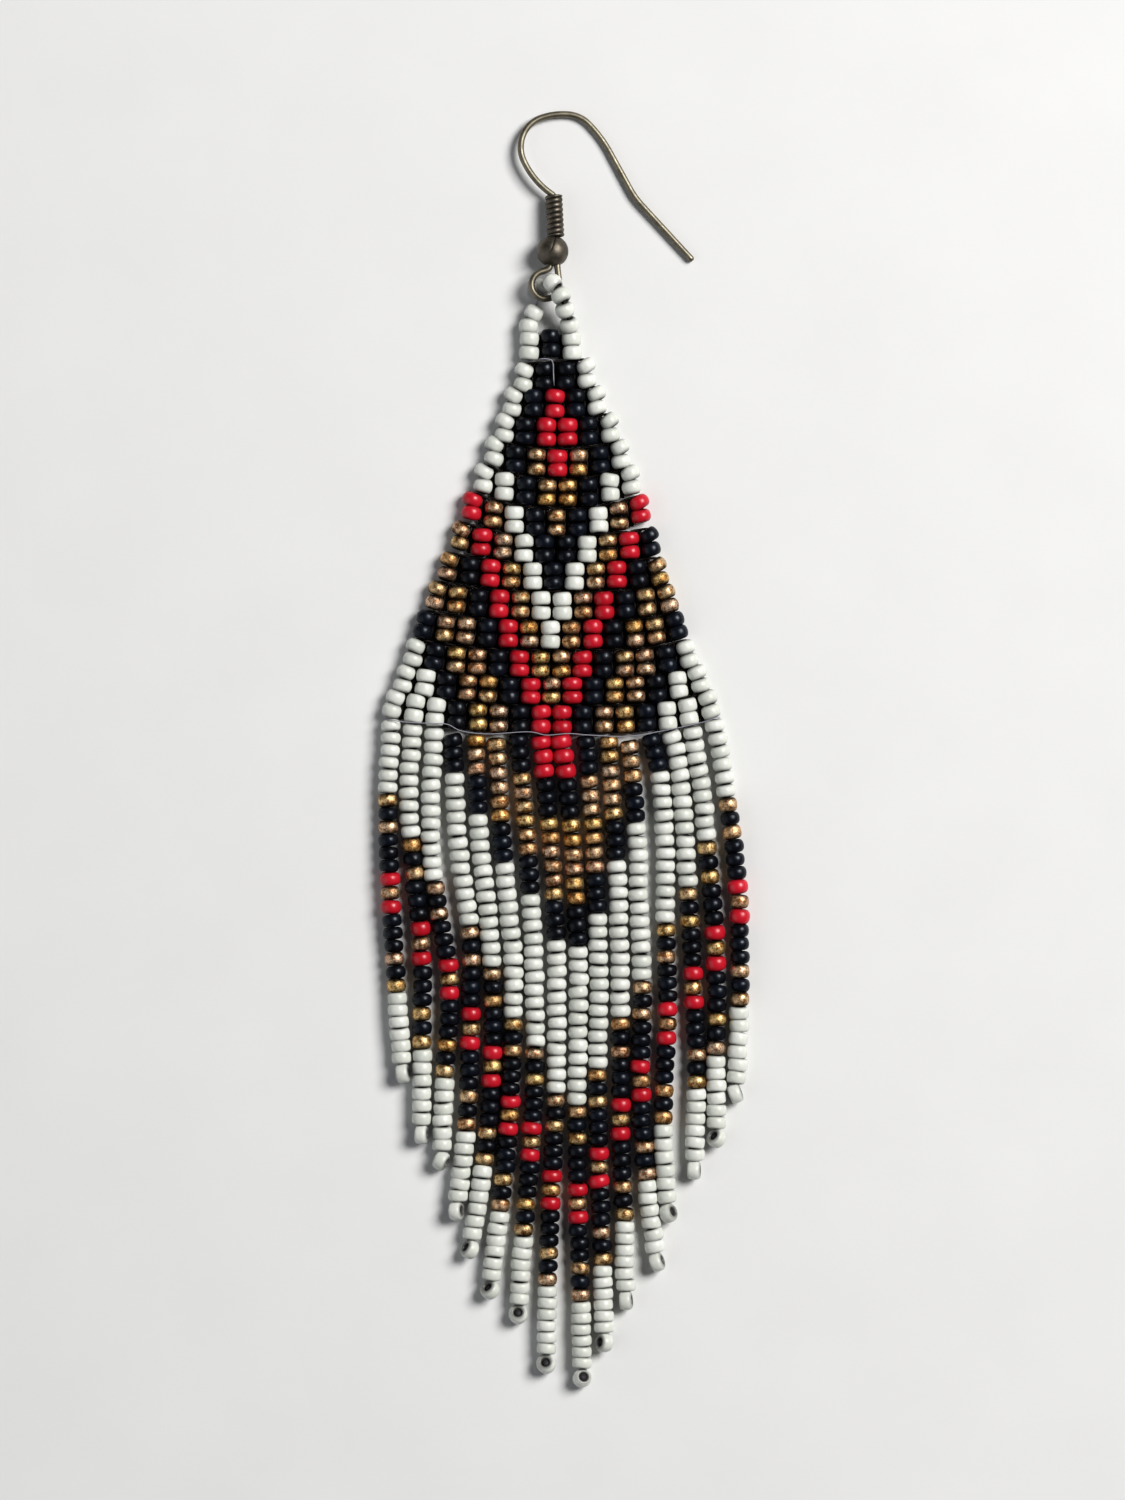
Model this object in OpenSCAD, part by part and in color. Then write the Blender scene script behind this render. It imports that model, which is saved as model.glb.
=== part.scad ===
// Beaded fringe earring: a panel woven of seed beads that widens downwards, a fringe of
// beaded strings below it, and a fish-hook ear wire with a coil and a ball above it.
// Millimetres. The earring lies on its back on a flat surface at z = 0, with +Y towards
// the hook, +X to the right and +Z up. The origin is below the middle of its outline.
// The beads themselves are too small to be solids of their own: each string of them is
// a tube of the beads' own width, and the woven panel is one plate.

/* [Strings of beads] */
// Width of a string of beads, measured across the flats of its tube
string_w = 1.9; // [1.6:0.05:1.95]
// Width of the bare thread between two beads
thread_w = 0.6; // [0.3:0.1:0.8]

/* [Woven panel] */
// Width of one column of beads
column_w = 2.13; // [2.05:0.01:2.18]
// Height of one row, which is two beads one above the other
row_h = 2.92; // [2.86:0.01:2.98]
// Thickness of the panel
panel_t = 2; // [1.6:0.1:2.2]
// How far the outer beads of the lowest row lie above its middle ones
sag = 1.9; // [1.7:0.1:2.1]

/* [Ear wire] */
// Diameter of the wire
wire_d = 0.65; // [0.55:0.01:0.67]
// Clearance round the wire in the coil and in the ball
wire_gap = 0.05; // [0.03:0.01:0.06]
// Length of the straight tail that goes through the ear
tail_l = 8; // [6:0.5:8]

/* [Coil and ball] */
// Outer diameter of the coil
coil_d = 1.75; // [1.7:0.05:2]
// Number of turns in the coil
coil_turns = 8; // [6:1:8]
// Length that one turn of the coil takes
coil_pitch = 0.5; // [0.4:0.01:0.5]
// Diameter of the ball
ball_d = 3.2; // [3:0.1:3.4]
// Height of the ball between its two flats, along the wire
ball_h = 2.9; // [2.6:0.1:2.95]

/* [Hidden] */
string_count = 16;
string_names = [for (k = [1 : string_count]) str("fringe_strand_", k < 10 ? "0" : "", k)];

// Centre of the ball on the surface, and how the hook lies: it rests on its ball, on the
// right shoulder of its arch and on the tip of its tail
ball_xy = [-1, 50.4];
hook_lean = 2.5;
tilt_up = 4.1;
tilt_side = 5.1;

// The hook is laid out flat, with its main wire along Y and the ball's middle at y = 0.
// The ball holds two wires side by side, so its middle lies between them
ball_x = -0.4;
return_x = -0.75;
return_top = -0.29;
main_low = -1.5;
bend_y = 5.42;
coil_low = 1.5;

// Runs of the wire, one after the other: [length, turn to the left in degrees]
ARCH = [
    [bend_y - main_low, 0],
    [0.5, 53],
    [4.4, -31],
    [3.0, -51],
    [2.3, -43],
    [2.9, -25],
    [2.3, -41],
    [3.6, -16],
    [4.6, 0],
    [1.3, 14],
];
EYE = [
    [0.3, 4],
    [1.5, 0],
    [6.4, -260],
    [0.5, 0],
    [0.7, 76],
    [1.1, 0],
];
arch_start = [0, main_low, 90];
eye_start = [0, main_low, -90];
tip_l = 0.2;

// The string that hangs the panel on the eye: [x, y, z, width of the tube]
LOOP = [
    [-3.4, 42.8, 0.95, string_w],
    [-3.5, 43.4, 0.95, string_w],
    [-2.9, 44.6, 0.95, string_w],
    [-2.8, 44.7, 0.95, thread_w],
    [-2.3, 46.3, 0.95, thread_w],
    [-2.2, 46.4, 0.95, string_w],
    [-1.7, 47.3, 1.1, string_w],
    [-1.6, 47.4, 1.2, thread_w],
    [-1.5, 47.4, 2.4, thread_w],
    [-1.4, 47.4, 3.1, thread_w],
    [-1.3, 47.4, 3.2, string_w],
    [-0.5, 46.8, 3.2, string_w],
    [0.1, 45.7, 3.1, string_w],
    [0.4, 44.4, 2.1, string_w],
    [0.8, 43.5, 1.1, string_w],
    [0.8, 42.8, 0.95, string_w],
];

// Rows of the panel from the top: [x of the row's middle, y of its middle beads].
// The first row has three columns of beads, and each row below has one more
ROWS = [
    [-1.2, 41.0],
    [-0.9, 38.0],
    [-0.8, 35.1],
    [-0.6, 32.2],
    [-0.6, 29.2],
    [-0.6, 26.1],
    [-0.7, 23.1],
    [-0.7, 20.2],
    [-1.0, 17.4],
    [-1.1, 14.6],
    [-1.3, 11.7],
    [-1.2, 8.8],
    [-1.2, 6.0],
    [-1.2, 3.1],
];
first_columns = 3;
lower_edge_steps = 12;

// Routes of the fringe's strings, [x, y], from the panel down to the string's last bead
ROUTES = [
    [[-17.3, 3.0], [-17.7, -1.2], [-17.9, -5.1], [-17.5, -14.4], [-17.0, -23.9], [-16.5, -33.8]],
    [[-15.2, 2.5], [-15.5, -3.8], [-15.5, -9.7], [-14.8, -19.6], [-14.4, -29.5], [-14.4, -39.7]],
    [[-13.0, 2.1], [-13.3, -6.0], [-13.1, -14.1], [-11.8, -23.4], [-12.1, -32.4], [-12.5, -42.5]],
    [[-10.9, 1.8], [-10.7, -8.8], [-9.5, -18.5], [-9.6, -28.0], [-10.0, -38.0], [-11.0, -47.4]],
    [[-8.8, 1.5], [-8.5, -7.2], [-7.7, -15.0], [-7.4, -22.7], [-7.5, -32.1], [-8.1, -41.4],
        [-9.5, -51.3]],
    [[-6.7, 1.4], [-6.2, -8.8], [-5.1, -20.2], [-5.1, -27.7], [-5.4, -37.1], [-6.3, -46.1],
        [-7.8, -55.6]],
    [[-4.5, 1.4], [-3.8, -8.2], [-2.9, -21.2], [-2.9, -30.8], [-3.5, -39.8], [-4.2, -48.6],
        [-5.1, -58.1]],
    [[-2.3, 1.3], [-1.4, -8.8], [-0.7, -21.9], [-0.8, -35.5], [-1.5, -44.7], [-1.8, -53.6],
        [-2.0, -63.2]],
    [[-0.1, 1.3], [0.8, -8.8], [1.5, -21.9], [1.4, -36.6], [1.4, -46.3], [1.7, -55.0],
        [1.9, -64.6]],
    [[2.3, 1.3], [3.0, -8.8], [3.6, -21.9], [3.5, -32.8], [3.6, -42.5], [3.8, -51.4],
        [3.9, -61.0]],
    [[4.5, 1.3], [5.2, -8.8], [5.7, -18.8], [5.7, -27.8], [5.7, -37.6], [6.0, -46.8],
        [6.3, -56.7]],
    [[6.5, 1.3], [7.4, -7.9], [7.9, -16.2], [7.8, -24.0], [7.9, -33.7], [8.2, -43.0],
        [9.4, -52.8]],
    [[8.7, 1.6], [9.9, -2.8], [10.4, -12.0], [10.0, -18.2], [10.2, -27.2], [10.1, -37.2],
        [10.8, -47.7]],
    [[10.9, 2.0], [12.1, -3.4], [12.7, -14.6], [13.0, -24.2], [13.4, -33.5], [13.3, -43.4]],
    [[13.1, 2.5], [14.3, -4.6], [14.7, -10.0], [15.4, -20.2], [15.5, -30.2], [15.5, -40.3]],
    [[15.2, 2.9], [16.2, -1.6], [16.7, -5.5], [17.7, -15.3], [17.9, -25.2], [17.5, -35.6]],
];

tube_sides = 8;
bend_sides = 12;
arc_step = 12;
round_fn = 48;
bend_w = wire_d * 0.94;
tail_socket = 0.5;
bore_d = wire_d + 2 * wire_gap;
coil_wire_d = coil_d / 2 - bore_d / 2;
coil_mid_r = bore_d / 2 + coil_wire_d / 2;
string_z = string_w / 2;

// Tubes swept along a route of points

function unit(v) = v / norm(v);
function headings(route) = [for (i = [0 : len(route) - 1])
    unit(route[min(i + 1, len(route) - 1)] - route[max(i - 1, 0)])];

// The corners of a tube's section round c, square to t and w wide across its flats
function section(c, t, w, sides) =
    let (side = unit(cross(t, [0, 0, 1])))
    let (up = cross(side, t))
    let (r = w / 2 / cos(180 / sides))
    [for (k = [0 : sides - 1])
        let (a = (k + 0.5) * 360 / sides)
        c + r * (cos(a) * side + sin(a) * up)];

module tube(route, directions, widths, sides) {
    last = len(route) - 1;
    corners = [for (i = [0 : last]) each section(route[i], directions[i], widths[i], sides)];
    walls = [for (i = [0 : last - 1], k = [0 : sides - 1])
        let (next = (k + 1) % sides)
        let (low = i * sides)
        let (high = low + sides)
        [low + k, low + next, high + next, high + k]];
    near_end = [for (k = [0 : sides - 1]) sides - 1 - k];
    far_end = [for (k = [0 : sides - 1]) last * sides + k];
    polyhedron(corners, concat([near_end], walls, [far_end]));
}

// Wire bent in a plane, made of straight runs and arcs

// Where a run ends, as [x, y, heading], given where it starts
function run_end(p, run) =
    let (length = run[0])
    let (turn = run[1])
    let (r = turn == 0 ? 0 : length * 180 / (PI * turn))
    turn == 0
        ? [p[0] + length * cos(p[2]), p[1] + length * sin(p[2]), p[2]]
        : [p[0] + r * (sin(p[2] + turn) - sin(p[2])),
           p[1] - r * (cos(p[2] + turn) - cos(p[2])),
           p[2] + turn];

// Where run i starts: run len(runs) starts where the last one ends
function run_start(start, runs, i) =
    i == 0 ? start : run_end(run_start(start, runs, i - 1), runs[i - 1]);

// Points along the runs, with one at each run's end and more round an arc
function run_points(start, runs) = [
    for (i = [0 : len(runs) - 1])
        let (p = run_start(start, runs, i))
        let (n = max(1, ceil(abs(runs[i][1]) / arc_step)))
        for (k = [1 : n]) run_end(p, runs[i] * k / n)];

function backwards(points) = [for (i = [len(points) - 1 : -1 : 0])
    [points[i][0], points[i][1], points[i][2] + 180]];

// The whole bent stretch, from the eye's returning end to a little way inside the tail
function bent_wire() =
    let (tail_start = run_start(arch_start, ARCH, len(ARCH)))
    concat(
        backwards(run_points(eye_start, EYE)),
        [arch_start],
        run_points(arch_start, ARCH),
        [run_end(tail_start, [tail_socket, 0])]
    );

// The tail's outline, turned round its axis: a round bar with an eased tip
module tail() {
    r = wire_d / 2;
    rotate([0, 90, 0])
        rotate_extrude($fn = round_fn)
            polygon([
                [0, 0],
                [r, 0],
                [r, tail_l - tip_l],
                [r * 0.85, tail_l - tip_l * 0.4],
                [r * 0.5, tail_l],
                [0, tail_l],
            ]);
}

// Puts what is laid out flat round the main wire where the hook lies
module on_hook() {
    translate([ball_xy[0], ball_xy[1], ball_d / 2])
        rotate([-tilt_up, tilt_side, 0])
            rotate([0, 0, hook_lean])
                translate([-ball_x, 0, 0])
                    children();
}

// A round bar along the main wire's direction
module bar_y(x, low, high, d) {
    translate([x, high, 0]) rotate([90, 0, 0]) cylinder(h = high - low, d = d, $fn = round_fn);
}

// Sub-parts

// One bent wire: the arch and its tail above, the eye for the bead loop below
module ear_hook() {
    bends = bent_wire();
    tail_start = run_start(arch_start, ARCH, len(ARCH));
    color([0.42, 0.38, 0.28]) on_hook() {
        tube(
            [for (p = bends) [p[0], p[1], 0]],
            [for (p = bends) [cos(p[2]), sin(p[2]), 0]],
            [for (p = bends) bend_w],
            bend_sides
        );
        translate([tail_start[0], tail_start[1], 0]) rotate([0, 0, tail_start[2]]) tail();
    }
}

// A sleeve with the outline of the coil's turns, open for the wire
module hook_coil() {
    turn_angles = [-90 : 30 : 60];
    outline = [for (i = [0 : coil_turns - 1], a = turn_angles)
        [coil_mid_r + coil_wire_d / 2 * cos(a), coil_pitch * (i + 0.5 + 0.5 * sin(a))]];
    top = coil_pitch * coil_turns;
    color([0.25, 0.22, 0.18]) on_hook()
        translate([0, coil_low, 0])
            rotate([-90, 0, 0])
                rotate_extrude($fn = round_fn)
                    polygon(concat([[bore_d / 2, 0]], outline, [[coil_mid_r, top], [bore_d / 2, top]]));
}

// A ball with two flats, pierced for the main wire and for the eye's returning end
module hook_ball() {
    over = 1;
    color([0.28, 0.25, 0.2]) on_hook() difference() {
        translate([ball_x, 0, 0]) intersection() {
            sphere(d = ball_d, $fn = round_fn);
            cube([ball_d + over, ball_h, ball_d + over], center = true);
        }
        bar_y(0, -ball_d, ball_d, bore_d);
        bar_y(return_x, -ball_d, return_top + wire_gap, bore_d);
    }
}

// The string of beads that goes up from the panel, through the eye and down again
module bead_loop() {
    route = [for (p = LOOP) [p[0], p[1], p[2]]];
    color([0.88, 0.9, 0.86])
        tube(route, headings(route), [for (p = LOOP) p[3]], tube_sides);
}

// How far the row's end is above its middle: nothing in the first row, sag in the last
function row_lift(i) = sag * i / (len(ROWS) - 1);
function row_half_w(i) = (first_columns + i) * column_w / 2;

// The ends of a row on one side, upper corner first. side is -1 or 1
function row_end(i, side) = [for (dy = [row_h / 2, -row_h / 2])
    [ROWS[i][0] + side * row_half_w(i), ROWS[i][1] + row_lift(i) + dy]];

// The lower edge of the last row, which hangs lowest in its middle
function lower_edge() =
    let (i = len(ROWS) - 1)
    [for (k = [1 : lower_edge_steps - 1])
        let (u = 2 * k / lower_edge_steps - 1)
        [ROWS[i][0] + u * row_half_w(i), ROWS[i][1] + sag * pow(abs(u), 2.5) - row_h / 2]];

module beaded_panel() {
    last = len(ROWS) - 1;
    left = [for (i = [0 : last]) each row_end(i, -1)];
    right = [for (i = [0 : last]) each [row_end(last - i, 1)[1], row_end(last - i, 1)[0]]];
    color([0.55, 0.42, 0.25])
        linear_extrude(panel_t) polygon(concat(left, lower_edge(), right));
}

module fringe_strand(k) {
    route = [for (p = ROUTES[k]) [p[0], p[1], string_z]];
    color([0.86, 0.88, 0.84])
        tube(route, headings(route), [for (p = route) string_w], tube_sides);
}

ear_hook();
hook_coil();
hook_ball();
bead_loop();
beaded_panel();
for (k = [0 : string_count - 1])
    fringe_strand(k);
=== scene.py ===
import math
import random

import bpy
import numpy as np
from mathutils import Matrix, Vector


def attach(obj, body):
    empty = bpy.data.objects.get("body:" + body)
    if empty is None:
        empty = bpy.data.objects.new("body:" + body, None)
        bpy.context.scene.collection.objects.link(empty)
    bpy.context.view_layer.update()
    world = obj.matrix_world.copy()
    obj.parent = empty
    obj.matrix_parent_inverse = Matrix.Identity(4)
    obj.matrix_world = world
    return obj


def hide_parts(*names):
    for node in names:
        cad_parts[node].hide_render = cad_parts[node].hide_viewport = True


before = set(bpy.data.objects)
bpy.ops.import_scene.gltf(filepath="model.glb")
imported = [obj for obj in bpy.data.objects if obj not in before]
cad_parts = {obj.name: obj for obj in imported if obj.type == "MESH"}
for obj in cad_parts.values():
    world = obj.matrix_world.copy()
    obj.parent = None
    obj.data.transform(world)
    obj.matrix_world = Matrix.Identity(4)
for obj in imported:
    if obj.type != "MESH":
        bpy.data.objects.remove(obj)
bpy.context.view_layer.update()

# Beaded fringe earring, lying on its back: an ear wire with a coil and a ball, a loop of
# beads through its eye, a woven panel, and sixteen strings that hang from the panel.

# Lengths in this script are millimetres, and MM turns them into the frame's metres
MM = 0.001
# Everything that is drawn at random starts from this number
SEED = 11

# Camera: straight above the earring, as in the photograph, with +Y up in the picture
view_height = 152
camera_distance = 620
sensor_size = 36

# Beads: outer radius, length along the hole on a string, pitch of the pairs in the panel,
# and how square the section is. 2 is an ellipse, and more is squarer. The kinds are white,
# black, red and bronze (G, as gold)
BEADS = {
    "W": {"radius": 0.98, "length": 1.28, "pitch": 1.45, "square": 2.7},
    "K": {"radius": 0.98, "length": 1.28, "pitch": 1.42, "square": 2.15},
    "R": {"radius": 1.03, "length": 1.44, "pitch": 1.47, "square": 2.1},
    "G": {"radius": 0.95, "length": 1.4, "pitch": 1.44, "square": 1.95},
}
KINDS = ["W", "K", "R", "G"]
hole_radius = 0.4
# How wide the rounding is where the hole meets the bead's ends
hole_lip = 0.14
# Each bead is turned in this many sides, through points of its section at these angles
bead_sides = 24
outer_angles = [-90, -67.5, -45, -22.5, 0, 22.5, 45, 67.5, 90]
inner_angles = [135, 180, 225]
# How uneven the beads are: in radius and roundness, in the slant of their ends, and in the
# way their holes point
bead_uneven = 0.02
bead_slant = 0.07
bead_tip = 0.035
# A bead's middle lies this many of its radii above the surface, to leave room for all that
lifted = 1.03

# Panel of brick stitch, close to the solid. Its rows from the top: [x of the row's middle,
# y of its middle beads, how much higher its left end lies, how much higher its right end]
column_w = 2.13
panel_z = 1.03
first_columns = 3
ROWS = [
    [-1.24, 41.16, -0.3, -0.3],
    [-0.76, 37.83, -0.2, 0.3],
    [-0.78, 35.04, 0.18, 0.3],
    [-0.54, 32.14, 0.35, 0.45],
    [-0.51, 29.01, 1.17, 0.89],
    [-0.54, 26.04, 1.38, 1.18],
    [-0.64, 23, 1.65, 1.35],
    [-0.71, 20.3, 1.35, 0.7],
    [-0.91, 17.57, 0.96, 0.44],
    [-1.09, 14.62, 1, 0.71],
    [-1.23, 11.68, 0.97, 0.86],
    [-1.18, 8.68, 1.15, 1.07],
    [-1.12, 6, 1.2, 1.2],
    [-1.12, 3.08, 1.6, 1.45],
]
# How sharply the rows' ends rise and lean outwards, as a power. From late_row on, their
# right ends rise late
bend = 2.5
late_bend = 4.5
late_row = 9
# Degrees that the outermost pairs lean: fan_top in the upper rows, and up to fan_more in
# addition, which grows over fan_rows rows from fan_row on
fan_top = 4
fan_more = 9
fan_row = 5
fan_rows = 4
# How far beads of neighbouring rows may press into each other where the rows lie close
row_squeeze = 0.04
# Space between the two beads of a pair, how far they stray, and how loosely they sit
pair_gap = 0.03
panel_stray = 0.03
panel_loose = 1.6
# The white beads that are turned at the rows' ends show a rounder section
turned_square = 2
# The colours of each row's columns, each column two beads high
CHART = [
    "WKW",
    "WKKW",
    "WKRKW",
    "WKRRKW",
    "WKGRGKW",
    "WWKGGKWW",
    "RGWKGKWGR",
    "GRGWKKWGRK",
    "GKRGWKWGRKG",
    "GGKRGWWGRKGG",
    "KGGKRGWGRKGGK",
    "WKGGKRGGRKGGKW",
    "WWKGGKRGRKGGKWW",
    "WWWKGGKRRKGGKWWW",
]

# Fringe, close to the solids: each string's route, [x, y], from the panel downwards. The
# last four points are its first accent bead, a middle, its last accent bead and its end
ROUTES = [
    [[-17.22, 3.07], [-17.56, -1.29], [-17.69, -5.1], [-17.38, -14.37], [-16.81, -23.81],
        [-16.07, -33.68]],
    [[-15.12, 2.67], [-15.54, -3.75], [-15.3, -9.57], [-14.33, -19.55], [-14.19, -29.58],
        [-14.28, -39.86]],
    [[-12.92, 2.26], [-13.34, -5.96], [-12.96, -13.97], [-11.41, -23.44], [-11.9, -32.48],
        [-12.31, -42.51]],
    [[-11.12, 1.66], [-10.56, -9.6], [-9.38, -18.47], [-9.32, -27.7], [-9.72, -37.86],
        [-10.86, -47.59]],
    [[-8.75, 1.67], [-8.5, -7.44], [-7.67, -15.05], [-7.14, -22.65], [-7.09, -31.95],
        [-7.89, -41.37], [-9.54, -51.45]],
    [[-6.7, 1.27], [-6.07, -9.4], [-5.04, -20.66], [-5.05, -27.81], [-5.36, -37.1],
        [-6.26, -46], [-7.44, -55.56]],
    [[-4.5, 1.65], [-3.67, -8.12], [-2.91, -21.27], [-2.79, -30.79], [-3.22, -39.57],
        [-3.89, -48.45], [-4.55, -58.04]],
    [[-2.25, 1.51], [-1.22, -9.02], [-0.59, -21.85], [-0.7, -35.47], [-1.19, -44.76],
        [-1.46, -53.48], [-1.69, -63.08]],
    [[-0.15, 1.62], [0.92, -8.44], [1.63, -21.62], [1.43, -36.63], [1.53, -46.67],
        [1.83, -55.09], [2.01, -64.5]],
    [[2.33, 1.46], [3.11, -8.82], [3.66, -21.69], [3.53, -32.94], [3.69, -42.8],
        [4.01, -51.46], [4.25, -60.9]],
    [[4.64, 1.5], [5.31, -9.04], [5.76, -18.6], [5.85, -27.73], [5.87, -37.94],
        [6.18, -46.95], [6.44, -56.65]],
    [[6.74, 1.02], [7.53, -8.67], [7.74, -16.33], [8.05, -24.02], [7.92, -33.67],
        [8.42, -42.84], [9.68, -52.74]],
    [[8.8, 1.6], [9.58, -1.3], [10.02, -3.8], [10.42, -11], [10.45, -18.21], [10.61, -26.83],
        [10.18, -37.18], [10.77, -47.79]],
    [[10.88, 1.95], [11.62, -0.6], [12.06, -4.2], [12.72, -14.59], [13.23, -24.26],
        [13.53, -33.56], [13.3, -43.46]],
    [[13.1, 2.38], [14.18, -4.68], [14.63, -9.87], [15.5, -20.12], [15.54, -30.19],
        [15.56, -40.24]],
    [[15.25, 3.12], [16.17, -1.7], [16.75, -5.49], [17.86, -15.21], [17.9, -25.22],
        [17.44, -35.72]],
]
# Beads above the accent, counted upwards and cut off to the string's length, then the
# accent and the tail, counted downwards
ABOVE_ACCENT = "W" * 12 + "K" * 3 + "G" * 6 + "K" * 3 + "R" * 3
ACCENT = "GKGKKKRGRKKKGKG"
TAIL = "W" * 6
# This string has one bronze bead more than its pattern, as on the real earring
extra_bronze_string = 10
# The strings' beads are a little fatter than the panel's and all equally square, with
# narrow gaps between them. In the tails they are squarer and touch
string_girth = 1.03
string_gap = 0.05
string_square = 2.2
tail_square = 3
# How far they stray to the side, and how loosely they sit
string_stray = 0.04
string_loose = 1.7
# The string's thread, dark as painted shade inside the beads: its radius, its height, where it
# starts, and its steps
core_r = 0.2
core_z = 0.95
core_start = 0.5
core_step = 1.5
# The last bead, which is turned, lies this much higher still
floor_gap = 0.02
# The knot that fills the last bead's hole, dark as painted shade in it: its radius and its half
# length
knot_r = 0.395
knot_half = 0.4
# How each string's last bead is turned: [lean of its hole from upright, heading], degrees
LAST_BEADS = [
    [80, 10],
    [80, 0],
    [75, -25],
    [70, 5],
    [60, 150],
    [50, 130],
    [24, 100],
    [24, 110],
    [22, 50],
    [55, 170],
    [80, 5],
    [75, 20],
    [55, 20],
    [80, 0],
    [50, 140],
    [85, 20],
]


def along(points, steps=24):
    """A smooth curve through points, as an array of finer points."""
    p = [Vector(q) for q in points]
    p = [2 * p[0] - p[1]] + p + [2 * p[-1] - p[-2]]
    made = []
    for i in range(1, len(p) - 2):
        for s in range(steps):
            t = s / steps
            made.append(0.5 * (
                2 * p[i]
                + (p[i + 1] - p[i - 1]) * t
                + (2 * p[i - 1] - 5 * p[i] + 4 * p[i + 1] - p[i + 2]) * t * t
                + (3 * p[i] - p[i - 1] - 3 * p[i + 1] + p[i + 2]) * t ** 3
            ))
    made.append(p[-2])
    return np.array([list(q) for q in made])


class Line:
    """A smooth curve that can be asked for the point at a distance along it."""

    def __init__(self, points):
        self.points = along(points)
        steps = np.linalg.norm(np.diff(self.points, axis=0), axis=1)
        self.at = np.concatenate([[0], np.cumsum(steps)])

    def place(self, s):
        return Vector([np.interp(s, self.at, values) for values in self.points.T])

    def heading(self, s, reach=0.4):
        return (self.place(s + reach) - self.place(s - reach)).normalized()

    def nearest(self, point):
        """Distance along the curve of its point nearest to point."""
        gaps = np.linalg.norm(self.points - np.array(point), axis=1)
        return self.at[int(np.argmin(gaps))]


class Shape:
    """Vertices and faces gathered for one mesh, with what their materials read.

    tone is one value for each bead or thread, which tells them apart; on thread, low tones are
    painted shade. depth is a value for each vertex, up to 1 where it lies deep in a hole or a
    groove, where the materials darken it as painted shade.
    """

    def __init__(self):
        self.vertices, self.faces, self.slots = [], [], []
        self.tone, self.depth = [], []
        self.count = 0

    def grid(self, points, slot, tone, depth, closed_rows):
        """Adds a tube: rows of points round it, closed round, and joined end to end if asked."""
        rows, sides = points.shape[:2]
        index = self.count + np.arange(rows * sides).reshape(rows, sides)
        nxt = np.roll(index, -1, axis=1)
        below, below_nxt = np.roll(index, -1, axis=0), np.roll(nxt, -1, axis=0)
        quads = np.stack([index, below, below_nxt, nxt], axis=-1)
        if not closed_rows:
            quads = quads[:-1]
        quads = quads.reshape(-1, 4)
        self.vertices.append(points.reshape(-1, 3))
        self.faces += quads.tolist()
        self.slots += [slot] * len(quads)
        self.tone.append(np.full(rows * sides, tone))
        self.depth.append(np.asarray(depth, float).reshape(-1))
        self.count += rows * sides
        if not closed_rows:
            self.faces += [index[0].tolist(), index[-1][::-1].tolist()]
            self.slots += [slot] * 2

    def make(self, name, materials):
        """The piece made of all that was added, in the scene."""
        mesh = bpy.data.meshes.new(name)
        mesh.from_pydata((np.concatenate(self.vertices) * MM).tolist(), [], self.faces)
        for material in materials:
            mesh.materials.append(material)
        mesh.polygons.foreach_set("material_index", self.slots)
        mesh.polygons.foreach_set("use_smooth", [True] * len(self.faces))
        for label, values in (("tone", self.tone), ("depth", self.depth)):
            attribute = mesh.attributes.new(label, "FLOAT", "POINT")
            attribute.data.foreach_set("value", np.concatenate(values).astype(np.float32))
        mesh.update()
        piece = bpy.data.objects.new(name, mesh)
        bpy.context.scene.collection.objects.link(piece)
        return piece


def square_to(axis):
    """Two directions square to axis and to each other, and the direction of axis."""
    upright = 0.05
    axis = Vector(axis).normalized()
    side = axis.cross(Vector((0, 0, 1)))
    if side.length < upright:
        side = axis.cross(Vector((1, 0, 0)))
    side.normalize()
    return side, side.cross(axis), axis


def add_bead(shape, kind, place, axis, dice, length=None, square=None, loose=1.0, girth=1.0):
    """One glass bead with its hole: a rounded section turned round the axis, a little uneven."""
    size = BEADS[kind]
    half = (length or size["length"]) / 2
    outer = size["radius"] * girth * (1 + bead_uneven * dice.uniform(-1, 1))
    middle = hole_radius + hole_lip
    angles = np.radians(outer_angles + inner_angles)
    power = 2 / (square or size["square"])
    across = np.sign(np.cos(angles)) * np.abs(np.cos(angles)) ** power
    up = np.sign(np.sin(angles)) * np.abs(np.sin(angles)) ** power
    # From its middle the section reaches out to the bead's girth and in to the hole
    reach = np.where(np.cos(angles) > 0, outer - middle, middle - hole_radius)
    from_axis = middle + across * reach
    tip = Vector([dice.gauss(0, bead_tip * loose) for _ in range(3)])
    side, front, axis = square_to(Vector(axis).normalized() + tip)
    turn = 2 * np.pi * (np.arange(bead_sides) / bead_sides)
    slant = bead_slant * dice.uniform(-1, 1) * np.cos(turn - dice.uniform(0, 6.28))
    bulge = 1 + bead_uneven * dice.uniform(-1, 1) * np.cos(2 * (turn - dice.uniform(0, 3.14)))
    r = from_axis[:, None] * bulge[None, :]
    h = half * up[:, None] * (1 + slant[None, :])
    c, s = np.cos(turn)[None, :, None], np.sin(turn)[None, :, None]
    points = (
        np.array(place)
        + r[:, :, None] * (c * np.array(side) + s * np.array(front))
        + h[:, :, None] * np.array(axis)
    )
    shade = np.clip((outer - r) / (outer - hole_radius), 0, 1)
    shape.grid(points, KINDS.index(kind), dice.random(), shade, True)


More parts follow.
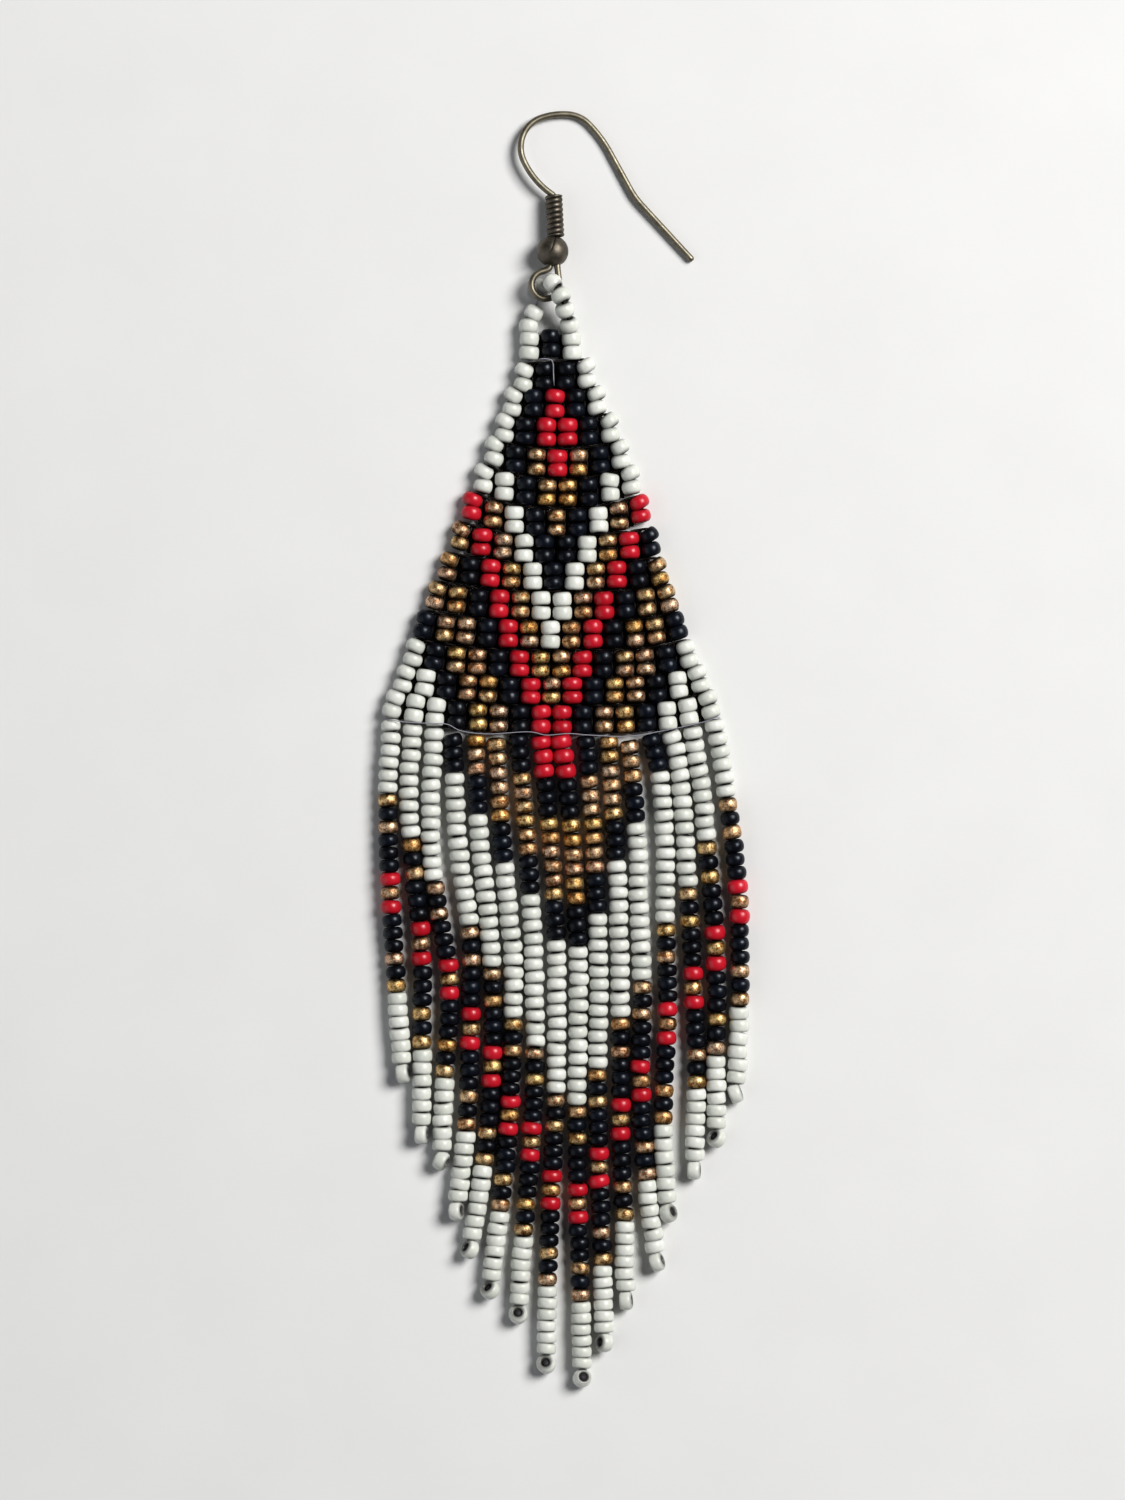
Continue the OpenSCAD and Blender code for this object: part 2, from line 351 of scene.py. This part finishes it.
def add_tube(shape, points, radius, slot, sides, tone=0.5, taper=None):
    """A round bar along points, whose section doesn't twist. taper scales its ends."""
    p = np.asarray(points, float)
    headings = np.gradient(p, axis=0)
    headings /= np.linalg.norm(headings, axis=1)[:, None]
    side = np.array(square_to(headings[0])[0])
    angle = 2 * np.pi * np.arange(sides) / sides
    rows = []
    for i, (q, t) in enumerate(zip(p, headings)):
        side = side - t * side.dot(t)
        side /= np.linalg.norm(side)
        up = np.cross(side, t)
        r = radius * (taper[i] if taper is not None else 1)
        ring = np.cos(angle)[:, None] * side + np.sin(angle)[:, None] * up
        rows.append(q + r * ring)
    rows = np.array(rows)
    shape.grid(rows, slot, tone, np.zeros(rows.shape[:2]), False)


# Materials

def new_material(name):
    """A material with a Principled shader, and its node tree."""
    material = bpy.data.materials.new(name)
    material.use_nodes = True
    tree = material.node_tree
    return material, tree, tree.nodes["Principled BSDF"]


def noise(tree, size, detail=3, rough=0.5):
    """Noise whose blots are about size millimetres across."""
    node = tree.nodes.new("ShaderNodeTexNoise")
    node.inputs["Scale"].default_value = 1 / (size * MM)
    node.inputs["Detail"].default_value = detail
    node.inputs["Roughness"].default_value = rough
    position = tree.nodes.new("ShaderNodeTexCoord").outputs["Object"]
    tree.links.new(position, node.inputs["Vector"])
    return node.outputs["Fac"]


def value_of(tree, label):
    """The value that the mesh holds under label, which is tone or depth."""
    node = tree.nodes.new("ShaderNodeAttribute")
    node.attribute_name = label
    return node.outputs["Fac"]


def ramp(tree, value, stops):
    """Colours or greys read off at value. Each stop is [position, colour]."""
    node = tree.nodes.new("ShaderNodeValToRGB")
    elements = node.color_ramp.elements
    while len(elements) < len(stops):
        elements.new(0.5)
    for element, (place, colour) in zip(elements, stops):
        element.position = place
        element.color = (*colour, 1) if len(colour) == 3 else (*colour * 3, 1)
    tree.links.new(value, node.inputs["Fac"])
    return node.outputs["Color"]


def mix(tree, factor, a, b, how="MIX"):
    """Mixes colour b over a. Each of factor, a and b is a plain value or an output."""
    node = tree.nodes.new("ShaderNodeMix")
    node.data_type = "RGBA"
    node.blend_type = how
    # The colours' sockets, as the node has others of the same names for numbers and vectors
    inputs = {"Factor": node.inputs[0], "A": node.inputs[6], "B": node.inputs[7]}
    for key, source in (("Factor", factor), ("A", a), ("B", b)):
        if isinstance(source, bpy.types.NodeSocket):
            tree.links.new(source, inputs[key])
        elif isinstance(source, tuple):
            inputs[key].default_value = (*source, 1)
        else:
            inputs[key].default_value = source
    return node.outputs[2]


def times(tree, a, b):
    """Colour a darkened or tinted by colour b."""
    return mix(tree, 1.0, a, b, "MULTIPLY")


def roughen(tree, shader, size, low, high, detail=3):
    """Roughness that wanders between low and high, in blots of size millimetres."""
    rough = ramp(tree, noise(tree, size, detail), [[0.3, (low,)], [0.7, (high,)]])
    tree.links.new(rough, shader.inputs["Roughness"])


def bump(tree, shader, height, depth, strength):
    """Relief of depth millimetres from a height between 0 and 1."""
    node = tree.nodes.new("ShaderNodeBump")
    node.inputs["Strength"].default_value = strength
    node.inputs["Distance"].default_value = depth * MM
    tree.links.new(height, node.inputs["Height"])
    tree.links.new(node.outputs["Normal"], shader.inputs["Normal"])


def white_glass():
    """Chalky white glass, with painted shade at its ends and in its hole."""
    material, tree, shader = new_material("bead_white")
    body = ramp(tree, value_of(tree, "tone"), [[0, (0.66, 0.68, 0.625)], [1, (0.77, 0.78, 0.735)]])
    cloud = ramp(tree, noise(tree, 0.5), [[0.35, (0.93,)], [0.65, (1.0,)]])
    body = times(tree, body, cloud)
    # Painted shade: darker towards the bead's ends and into its hole, where depth grows
    ends = ramp(tree, value_of(tree, "depth"), [[0.1, (1.0,)], [0.4, (0.55,)], [0.9, (0.15,)]])
    body = times(tree, body, ends)
    tree.links.new(body, shader.inputs["Base Color"])
    roughen(tree, shader, 0.3, 0.3, 0.42)
    shader.inputs["Subsurface Weight"].default_value = 0.15
    shader.inputs["Subsurface Radius"].default_value = (1.0, 1.0, 0.8)
    shader.inputs["Subsurface Scale"].default_value = 0.35 * MM
    bump(tree, shader, noise(tree, 0.45, 2), 0.02, 0.5)
    return material


def black_glass():
    """Black glass, some beads with a little more blue."""
    material, tree, shader = new_material("bead_black")
    body = ramp(tree, value_of(tree, "tone"), [
        [0, (0.004, 0.004, 0.006)],
        [1, (0.006, 0.008, 0.014)],
    ])
    tree.links.new(body, shader.inputs["Base Color"])
    roughen(tree, shader, 0.35, 0.26, 0.42)
    shader.inputs["Specular IOR Level"].default_value = 0.33
    shader.inputs["Specular Tint"].default_value = (0.82, 0.9, 1.0, 1)
    bump(tree, shader, noise(tree, 0.4, 2), 0.02, 0.5)
    return material


def red_glass():
    """Clear red glass, with painted shade towards its hole."""
    material, tree, shader = new_material("bead_red")
    body = ramp(tree, value_of(tree, "tone"), [[0, (0.46, 0.01, 0.024)], [1, (0.58, 0.016, 0.036)]])
    # Painted shade: darker towards the hole, where depth grows
    ends = ramp(tree, value_of(tree, "depth"), [[0.1, (1.0,)], [0.7, (0.4,)]])
    body = times(tree, body, ends)
    tree.links.new(body, shader.inputs["Base Color"])
    roughen(tree, shader, 0.35, 0.26, 0.4)
    bump(tree, shader, noise(tree, 0.4, 2), 0.02, 0.5)
    return material


def bronze_glass():
    """Glass with a metallic skin: each bead has its own colour, worn patches and pits, and painted
    shade towards its hole.
    """
    material, tree, shader = new_material("bead_bronze")
    body = ramp(tree, value_of(tree, "tone"), [
        [0.0, (0.7, 0.49, 0.21)],
        [0.3, (0.63, 0.45, 0.25)],
        [0.55, (0.65, 0.46, 0.32)],
        [0.75, (0.68, 0.41, 0.15)],
        [0.9, (0.56, 0.36, 0.24)],
        [1.0, (0.64, 0.49, 0.36)],
    ])
    patches = noise(tree, 0.5, 3, 0.6)
    worn = ramp(tree, patches, [[0.39, (0.52, 0.37, 0.25)], [0.54, (1.24, 1.27, 1.3)]])
    body = times(tree, body, worn)
    pits = ramp(tree, noise(tree, 0.13, 2), [[0.34, (0.3,)], [0.5, (1.0,)]])
    body = times(tree, body, pits)
    # Painted shade: dark towards the hole, where depth grows
    ends = ramp(tree, value_of(tree, "depth"), [[0.05, (1.0,)], [0.35, (0.2,)]])
    body = times(tree, body, ends)
    tree.links.new(body, shader.inputs["Base Color"])
    shader.inputs["Metallic"].default_value = 0.94
    roughen(tree, shader, 0.3, 0.46, 0.58, 4)
    bump(tree, shader, noise(tree, 0.3, 3, 0.6), 0.05, 0.8)
    return material


def thread_and_painted_shade():
    """Thread, pale grey at tone 1. Its lower tones, down to nearly black at tone 0, are painted
    shade where it lies between or inside beads.
    """
    material, tree, shader = new_material("thread")
    body = ramp(tree, value_of(tree, "tone"), [[0, (0.012, 0.008, 0.006)], [1, (0.5, 0.5, 0.58)]])
    fibres = ramp(tree, noise(tree, 0.1), [[0.3, (0.7,)], [0.7, (1.0,)]])
    body = times(tree, body, fibres)
    tree.links.new(body, shader.inputs["Base Color"])
    shader.inputs["Roughness"].default_value = 0.55
    shader.inputs["Specular IOR Level"].default_value = 0.25
    bump(tree, shader, noise(tree, 0.06, 2), 0.01, 0.6)
    return material


def plated_bronze_with_shade(name, worn, patch, groove, rough_low, rough_high):
    """Plated metal, worn bright with duller patches, and painted shade in the groove colour where
    depth is near 1.
    """
    material, tree, shader = new_material(name)
    body = ramp(tree, noise(tree, 0.9, 4, 0.6), [[0.35, patch], [0.62, worn]])
    # Painted shade in grooves, seams and dents, where depth nears 1
    body = mix(tree, value_of(tree, "depth"), body, groove)
    grain = ramp(tree, noise(tree, 0.12, 3), [[0.35, (0.85,)], [0.65, (1.0,)]])
    body = times(tree, body, grain)
    tree.links.new(body, shader.inputs["Base Color"])
    shader.inputs["Metallic"].default_value = 0.9
    roughen(tree, shader, 0.25, rough_low, rough_high, 4)
    bump(tree, shader, noise(tree, 0.15, 3), 0.012, 0.5)
    return material


def floor_paint():
    """A plain pale surface, hardly clouded."""
    material, tree, shader = new_material("floor_paint")
    body = ramp(tree, noise(tree, 12, 4), [[0.3, (0.77, 0.77, 0.772)], [0.7, (0.79, 0.79, 0.79)]])
    tree.links.new(body, shader.inputs["Base Color"])
    shader.inputs["Roughness"].default_value = 0.75
    return material


# Materials of the beaded pieces: one for each of KINDS, in their order, and the thread's
GLASS = [white_glass(), black_glass(), red_glass(), bronze_glass(), thread_and_painted_shade()]
THREAD = len(KINDS)
# Each metal: its worn colour, its patch colour, the colour of painted shade in its grooves, and its
# roughness
WIRE_METAL = plated_bronze_with_shade(
    "wire_bronze", (0.28, 0.255, 0.195), (0.19, 0.17, 0.13), (0.08, 0.07, 0.05), 0.4, 0.55)
TRIM_METAL = plated_bronze_with_shade(
    "trim_bronze", (0.18, 0.16, 0.13), (0.12, 0.105, 0.085), (0.025, 0.02, 0.016), 0.42, 0.56)


def finish_piece(piece, slot, *nodes):
    """Puts a piece on the frame in place of its solids."""
    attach(piece, "root")
    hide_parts(*nodes)


# Panel

def unit_place(row, column):
    """Middle of a pair of beads, and how far its lower end leans outwards, in degrees."""
    middle_x, middle_y, left_rise, right_rise = ROWS[row]
    count = first_columns + row
    # From -1 at the row's left end to 1 at its right end
    u = 2 * column / (count - 1) - 1
    x = middle_x + column_w * (column - (count - 1) / 2)
    power = late_bend if u > 0 and row >= late_row else bend
    y = middle_y + (left_rise if u < 0 else right_rise) * abs(u) ** power
    fan = fan_top + fan_more * min(1, max(0, (row - fan_row) / fan_rows))
    return x, y, fan * math.copysign(abs(u) ** bend, u)


def downwards(lean):
    """Direction down along a pair of beads that leans by so many degrees."""
    a = math.radians(lean)
    return Vector((math.sin(a), -math.cos(a), 0))


def end_turn(row, column, step):
    """How far its thread turns a bead at the end of a row beyond its lean, in degrees."""
    # Degrees for the upper and the lower bead of a pair. They shrink towards eased_row, over
    # eased_over rows, but not below a share of least
    upper, lower = 26, 9
    least, eased_row, eased_over = 0.3, 11, 4
    last = first_columns + row - 1
    if row == 0 or 0 < column < last:
        return 0
    turn = upper if step < 0 else lower
    return turn * (1 if column else -1) * min(1, max(least, (eased_row - row) / eased_over))


def room_of(row):
    """The longest a bead of the row can be between the rows above and below it."""
    gaps = [ROWS[r][1] - ROWS[r + 1][1] for r in (row - 1, row) if 0 <= r < len(ROWS) - 1]
    return min(gaps) / 2 + row_squeeze


def make_panel():
    """All beads of the panel, in pairs."""
    dice = random.Random(SEED)
    shape = Shape()
    for row, colours in enumerate(CHART):
        for column, kind in enumerate(colours):
            x, y, lean = unit_place(row, column)
            down = downwards(lean)
            pitch = min(BEADS[kind]["pitch"], room_of(row))
            for step in (-0.5, 0.5):
                place = Vector((x, y, panel_z)) + down * pitch * step
                place += Vector([dice.gauss(0, panel_stray) for _ in range(3)])
                place.z = max(place.z, BEADS[kind]["radius"] * lifted)
                turn = end_turn(row, column, step)
                axis = Matrix.Rotation(math.radians(turn), 3, "Z") @ down
                square = turned_square if turn and kind == "W" else None
                add_bead(shape, kind, place, axis, dice, pitch - pair_gap, square, panel_loose)
    return shape.make("panel_beads", GLASS)


def add_bridges(shape, row, count, height, dice):
    """The thread in small arches from hole to hole along the top of a row, dark as painted shade.
    The first has none.
    """
    # From a pair's middle up to the thread, the arch's height, and its shoulders as a share
    hole_top, rise, shoulder_x, shoulder_y = 1.3, 0.16, 0.15, 0.8
    radius, stray = 0.12, 0.04
    if row == 0:
        return
    for column in range(count - 1):
        (x0, y0, _), (x1, y1, _) = (unit_place(row, c) for c in (column, column + 1))
        left = Vector((x0, y0 + hole_top, height))
        right = Vector((x1, y1 + hole_top, height))
        middle = (left + right) / 2 + Vector((0, rise, dice.gauss(0, stray)))
        step = (right - left) * shoulder_x + Vector((0, rise * shoulder_y, 0))
        back = (left - right) * shoulder_x + Vector((0, rise * shoulder_y, 0))
        line = along([left, left + step, middle, right + back, right], 3)
        # tone 0: painted shade between the rows
        add_tube(shape, line, radius, THREAD, 6, tone=0)


def add_gap_shade_threads(shape, row, count, dice):
    """Dark threads that go down between two columns, below the middle of the beads, as painted
    shade in the gaps.
    """
    # The threads' points, from above the pairs' middle to below it. In the top row they
    # start lower, so that nothing sticks out above it
    reaches = (-1.4 if row else -1.0, -0.5, 0.5, 1.4)
    radius, apart, sunk, stray = 0.17, 0.17, 0.45, 0.03
    for column in range(count - 1):
        (x0, y0, a), (x1, y1, b) = (unit_place(row, c) for c in (column, column + 1))
        down = downwards((a + b) / 2)
        middle = Vector(((x0 + x1) / 2, (y0 + y1) / 2, panel_z - sunk))
        for aside in (-apart, apart):
            line = []
            for reach in reaches:
                off = Vector((aside + dice.gauss(0, stray), 0, dice.gauss(0, stray)))
                line.append(middle + down * reach + off)
            # tone 0: painted shade in the gap
            add_tube(shape, along(line, 2), radius, THREAD, 6, tone=0)


# Fringe

def string_colours(number):
    """The beads above the accent, from the panel down, for string number 1 to 16."""
    rank = min(number, len(ROUTES) + 1 - number)
    # Six beads at the sides, and three more for each string towards the middle
    above = ABOVE_ACCENT[:3 * (rank + 1)]
    if number == extra_bronze_string:
        above = above.replace("G" * 6, "G" * 7)
    return above[::-1]


def spread(line, colours, start, end):
    """Places beads one after the other from start to end, and fits their lengths to it."""
    full = sum(BEADS[c]["length"] for c in colours)
    fit = (end - start) / full
    placed, s = [], start
    for c in colours:
        length = BEADS[c]["length"] * fit
        placed.append([c, s + length / 2, length])
        s += length
    return placed


def add_last_bead(shape, line, turned, dice):
    """The bead at the string's end, turned as the knot in its hole holds it."""
    lean, heading = (math.radians(a) for a in turned)
    level = math.sin(lean)
    axis = Vector((level * math.cos(heading), level * math.sin(heading), math.cos(lean)))
    radius = BEADS["W"]["radius"]
    half = BEADS["W"]["length"] / 2
    place = line.place(line.at[-1] - radius)
    place.z = lifted * (radius * level + half * math.cos(lean)) + floor_gap
    add_bead(shape, "W", place, axis, dice, loose=0)
    knot = [place - axis * knot_half, place, place + axis * knot_half]
    # tone 0.08: painted shade in the hole
    add_tube(shape, knot, knot_r, THREAD, 12, tone=0.08)


def make_string(number):
    """One string of the fringe: its beads, its last bead with the knot, and its thread."""
    dice = random.Random(SEED * 100 + number)
    route = ROUTES[number - 1]
    line = Line([[x, y, 0] for x, y in route])
    accent_first, accent_last = (line.nearest([*route[i], 0]) for i in (-4, -2))
    accent_half = BEADS["G"]["length"] / 2
    accent_top, accent_end = accent_first - accent_half, accent_last + accent_half
    tail_end = line.at[-1] - 2 * BEADS["W"]["radius"]
    beads = (
        spread(line, string_colours(number), 0, accent_top)
        + spread(line, ACCENT, accent_top, accent_end)
        + spread(line, TAIL, accent_end, tail_end)
    )
    shape = Shape()
    heights = [BEADS[c]["radius"] * string_girth * lifted for c, _, _ in beads]
    for i, (kind, s, length) in enumerate(beads):
        in_tail = s > accent_end
        gap, square = (0, tail_square) if in_tail else (string_gap, string_square)
        beside = heights[max(i - 1, 0):i + 2]
        place = line.place(s)
        place.z = max(heights[i], sum(beside) / len(beside))
        place.x += dice.gauss(0, string_stray)
        add_bead(
            shape, kind, place, line.heading(s), dice, length - gap,
            square, string_loose, string_girth)
    add_last_bead(shape, line, LAST_BEADS[number - 1], dice)
    stops = np.arange(core_start, tail_end, core_step)
    thread = [list(line.place(s))[:2] + [core_z] for s in stops]
    # tone 0.1: painted shade inside the beads
    add_tube(shape, thread, core_r, THREAD, 6, tone=0.1)
    return shape.make("string_%02d" % number, GLASS)


# Hook, laid out flat with its main wire along Y and then put where the solid's is

wire_r = 0.325
ball_d = 3.2
ball_place = Vector((-1, 50.4, ball_d / 2))
# x in the flat layout, of the ball's middle and of the wire that comes back up from the eye
ball_x = -0.4
return_x = -0.75
# How far the hook is turned about Y, X and Z as it lies on its ball, in degrees
tilt_side = 5.1
tilt_up = 4.1
hook_lean = 2.5
# Runs of the wire from the ball's lower side, up to the tail's tip and down round the eye:
# [length, turn to the left in degrees]
ARCH = [
    [6.92, 0], [0.5, 53], [4.4, -31], [3.0, -51], [2.3, -43], [2.9, -25], [2.3, -41],
    [3.6, -16], [4.2, 0], [2.1, 14], [7.6, 0],
]
EYE = [[0.3, 4], [1.5, 0], [6.4, -260], [0.5, 0], [0.7, 76], [1.1, 0]]
ON_HOOK = (
    Matrix.Translation(ball_place)
    @ Matrix.Rotation(math.radians(tilt_side), 4, "Y")
    @ Matrix.Rotation(math.radians(-tilt_up), 4, "X")
    @ Matrix.Rotation(math.radians(hook_lean), 4, "Z")
    @ Matrix.Translation((-ball_x, 0, 0))
)


def walk(start, heading, runs, step=0.12):
    """Points along runs of wire that start at start with a heading in degrees."""
    x, y = start
    a = math.radians(heading)
    made = [[x, y, 0]]
    for length, turn in runs:
        count = max(2, round(length / step))
        for _ in range(count):
            a += math.radians(turn) / count / 2
            x += length / count * math.cos(a)
            y += length / count * math.sin(a)
            a += math.radians(turn) / count / 2
            made.append([x, y, 0])
    return made


def on_hook(points):
    """Points of the flat layout, put where the hook lies."""
    return np.array([list(ON_HOOK @ Vector(p)) for p in points])


def make_wire():
    """The ear wire in one length, from its end above the eye to the tail's rounded tip."""
    start_y = -1.5
    eye = walk((0, start_y), -90, EYE)[::-1]
    arch = walk((0, start_y), 90, ARCH)[1:]
    route = on_hook(eye + arch)
    tip = [0.98, 0.85, 0.5]
    taper = np.ones(len(route))
    taper[-len(tip):] = tip
    shape = Shape()
    add_tube(shape, route, wire_r, 0, 20, taper=taper)
    return shape.make("ear_wire", [WIRE_METAL])


def make_coil():
    """Wire wound close, a little flattened, whose first and last turns taper to flat ends."""
    # The full turns, their pitch, and where they start above the ball's middle
    turns, pitch, low = 7, 0.515, 1.46
    # The coil's outer radius, half of its wire's size across and along, and the share of
    # that size which is left at the tips
    outer, thick, high = 0.885, 0.27, 0.31
    least = 0.06
    steps, sides = 32, 12
    across = 2 * np.pi * np.arange(sides) / sides
    rows = []
    for i in range((turns + 2) * steps + 1):
        turn = i / steps
        a = 2 * math.pi * turn + math.pi
        full = max(least, min(1, turn, turns + 2 - turn))
        rise = low + pitch * min(max(0, turn - 1), turns)
        rise += full * high if turn < turns + 1 else (2 - full) * high
        row = []
        for b in across:
            reach = outer - thick * full * (1 - math.cos(b))
            row.append([reach * math.sin(a), rise + full * high * math.sin(b), reach * math.cos(a)])
        rows.append(on_hook(row))
    # Painted shade, dark where the turns meet and on their inner side
    groove = np.tile(np.clip(1.05 - 1.2 * np.cos(across), 0, 1), (len(rows), 1))
    shape = Shape()
    shape.grid(np.array(rows)[:, ::-1], 0, 0.5, groove[:, ::-1], False)
    return shape.make("coil_wire", [TRIM_METAL])


def make_ball():
    """A ball with flats where the wires go in, and the seam that its rolling left, with painted
    shade in the seam and round the wires.
    """
    rings, sides = 84, 120
    r = ball_d / 2
    flat = 1.45
    # The seam lies where seam_x * x + seam_y * y + seam_off is 0
    seam_x, seam_y, seam_off = 0.93, -0.37, 0.22
    seam_half, seam_depth = 0.1, 0.045
    dent_y, dent_r, dent_depth = 1.2, 0.62, 0.3
    rows, depth = [], []
    for i in range(rings + 1):
        # The first and last rings lie just off the poles, where they would have no size
        a = math.pi * (i / rings) * 0.998 + 0.003
        row, shade = [], []
        for j in range(sides):
            b = 2 * math.pi * j / sides
            ring_r = r * math.sin(a)
            p = Vector((ring_r * math.sin(b), r * math.cos(a), ring_r * math.cos(b)))
            # The seam runs over the upper side and fades out towards the eye; it is sunk, and
            # darkened as painted shade
            off_seam = abs(p.x * seam_x + p.y * seam_y + seam_off)
            fade = min(1, max(0, 0.9 + 1.2 * p.y))
            dark = max(0, 1 - off_seam / seam_half) * (p.z > 0) * fade
            p -= p.normalized() * seam_depth * dark
            p.y = max(-flat, min(flat, p.y))
            # Round each wire the flats are pressed in, and darkened there as painted shade
            for x in (-ball_x, return_x - ball_x):
                gap = math.hypot(p.x - x, p.z)
                if abs(p.y) > dent_y and gap < dent_r:
                    p.y -= math.copysign(dent_depth * (1 - gap / dent_r), p.y)
                    dark = max(dark, 1 - gap / dent_r)
            row.append(list(ON_HOOK @ (p + Vector((ball_x, 0, 0)))))
            shade.append(dark)
        rows.append(row)
        depth.append(shade)
    shape = Shape()
    shape.grid(np.array(rows), 0, 0.5, depth, False)
    return shape.make("ball", [TRIM_METAL])


# Loop, whose beads are a little longer. Each bead's middle and where its hole points:
# [x, y, z, heading in the plane, rise out of it], in degrees
loop_bead_l = 1.48
loop_square = 2
loop_loose = 0.6
LOOP_BEADS = [
    [-3.44, 42.88, 1.06, 85, 0],
    [-2.9, 44.22, 1.08, 58, 4],
    [-1.95, 46.85, 1.08, 60, 0],
    [-0.98, 47.07, 3.05, -42, 24],
    [-0.17, 45.8, 3.1, -62, 10],
    [0.24, 44.42, 2.42, -72, -18],
    [0.68, 42.97, 1.7, -80, -25],
]
# The places in the panel's top row where the loop's thread comes out and goes back in
LOOP_START = [-3.3, 41.6, panel_z]
LOOP_END = [0.9, 41.6, panel_z]
# The bead whose middle lies in the eye, counted from the thread's start
eye_bead = 3
# The radius of the pale thread and of the dark one, whose darkness is painted shade
pale_r = 0.08
dark_r = 0.14


def make_loop():
    """The loop's beads and their thread, which is pale as far as the eye and dark after it, as
    painted shade in the holes.
    """
    dice = random.Random(SEED + 5)
    shape = Shape()
    for x, y, z, heading, rise in LOOP_BEADS:
        a, e = math.radians(heading), math.radians(rise)
        axis = Vector((math.cos(a) * math.cos(e), math.sin(a) * math.cos(e), math.sin(e)))
        add_bead(shape, "W", Vector((x, y, z)), axis, dice, loop_bead_l, loop_square, loop_loose)
    steps = 12
    thread = along([LOOP_START] + [b[:3] for b in LOOP_BEADS] + [LOOP_END], steps)
    in_eye = steps * eye_bead
    add_tube(shape, thread[:in_eye + 1], pale_r, THREAD, 6, tone=1)
    # tone 0: painted shade in the beads' holes
    add_tube(shape, thread[in_eye:], dark_r, THREAD, 6, tone=0)
    return shape.make("loop_beads", GLASS)


# Loose thread: one line along the panel's lower edge, [x, y], and one stitch near the top,
# [x, y, z]

edge_r = 0.05
stitch_r = 0.06
# The line lies on the beads at edge_z, and its ends go down between them to down_z
edge_z = 2.14
down_z = 1.2
EDGE_THREAD = [
    [-17.3, 2.95], [-15.2, 2.75], [-13.2, 2.7], [-11.6, 2.5], [-10.2, 1.95], [-7.5, 1.75],
    [-3.5, 1.8], [-1.6, 1.45], [0.6, 1.65], [3.0, 1.45], [6.6, 1.45], [9.8, 1.85], [12.0, 2.25],
    [14.2, 2.8], [15.4, 3.2],
]
STITCH = [
    [-2.6, 39.45, 1.2], [-2.2, 39.5, 2.0], [-1.6, 39.5, 2.06], [-1.1, 39.35, 2.06],
    [-0.94, 38.9, 2.0], [-0.92, 38.2, 1.95], [-0.88, 37.3, 2.0], [-0.86, 36.8, 1.2],
]


def make_threads():
    """The loose threads, and the dark ones between the panel's beads, whose darkness is painted
    shade.
    """
    bridge_heights = (panel_z - 0.38, panel_z - 0.15)
    stray_y, stray_z = 0.05, 0.02
    end_x, end_y = 0.5, 0.1
    dice = random.Random(SEED + 9)
    shape = Shape()
    line = []
    for x, y in EDGE_THREAD:
        line.append([x, y + dice.gauss(0, stray_y), edge_z + dice.gauss(0, stray_z)])
    left, right = line[0], line[-1]
    left_end = [left[0] - end_x, left[1] + end_y, down_z]
    right_end = [right[0] + end_x, right[1] + end_y, down_z]
    add_tube(shape, along([left_end] + line + [right_end], 12), edge_r, THREAD, 8, tone=0.75)
    add_tube(shape, along(STITCH, 8), stitch_r, THREAD, 8, tone=0.7)
    for row, colours in enumerate(CHART):
        for height in bridge_heights:
            add_bridges(shape, row, len(colours), height, dice)
        add_gap_shade_threads(shape, row, len(colours), dice)
    piece = shape.make("panel_thread", GLASS)
    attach(piece, "root")


# Stage: lengths here are metres, apart from those at the head of this script

def make_floor():
    """The surface that the earring lies on, at height 0."""
    bpy.ops.mesh.primitive_plane_add(size=6)
    floor = bpy.context.object
    floor.name = "floor"
    floor.data.materials.append(floor_paint())


def add_light(name, place, size, power, colour):
    """A square soft light, aimed at the earring."""
    data = bpy.data.lights.new(name, "AREA")
    data.size = size
    data.energy = power
    data.color = colour
    light = bpy.data.objects.new(name, data)
    light.location = place
    light.rotation_euler = (-Vector(place)).to_track_quat("-Z", "Y").to_euler()
    bpy.context.scene.collection.objects.link(light)


def make_lights():
    """A key light from the right, which leaves the gaps between strings dark, and a fill."""
    add_light("key", (0.54, 0.34, 0.7), 0.42, 9.8, (1.0, 0.99, 0.97))
    add_light("fill", (-0.75, -0.2, 0.42), 1.0, 2.2, (0.95, 0.97, 1.0))
    world = bpy.data.worlds.new("studio")
    world.use_nodes = True
    sky = world.node_tree.nodes["Background"]
    sky.inputs["Color"].default_value = (0.93, 0.95, 1.0, 1)
    sky.inputs["Strength"].default_value = 0.04
    scene = bpy.context.scene
    scene.world = world
    scene.view_settings.view_transform = "Standard"
    scene.view_settings.look = "Medium High Contrast"


def make_camera():
    """The camera above the earring, with a lens that shows view_height of it."""
    data = bpy.data.cameras.new("camera")
    data.sensor_width = sensor_size
    data.lens = sensor_size * camera_distance / view_height
    data.clip_start, data.clip_end = 0.01, 20
    camera = bpy.data.objects.new("camera", data)
    camera.location = (0, 0, camera_distance * MM)
    bpy.context.scene.collection.objects.link(camera)
    bpy.context.scene.camera = camera


make_camera()
finish_piece(make_wire(), "ear_wire", "ear_hook")
finish_piece(make_coil(), "hook_trim", "hook_coil")
finish_piece(make_ball(), "hook_trim", "hook_ball")
finish_piece(make_loop(), "seed_beads", "bead_loop")
finish_piece(make_panel(), "seed_beads", "beaded_panel")
for number in range(1, len(ROUTES) + 1):
    finish_piece(make_string(number), "seed_beads", "fringe_strand_%02d" % number)
make_threads()
make_floor()
make_lights()
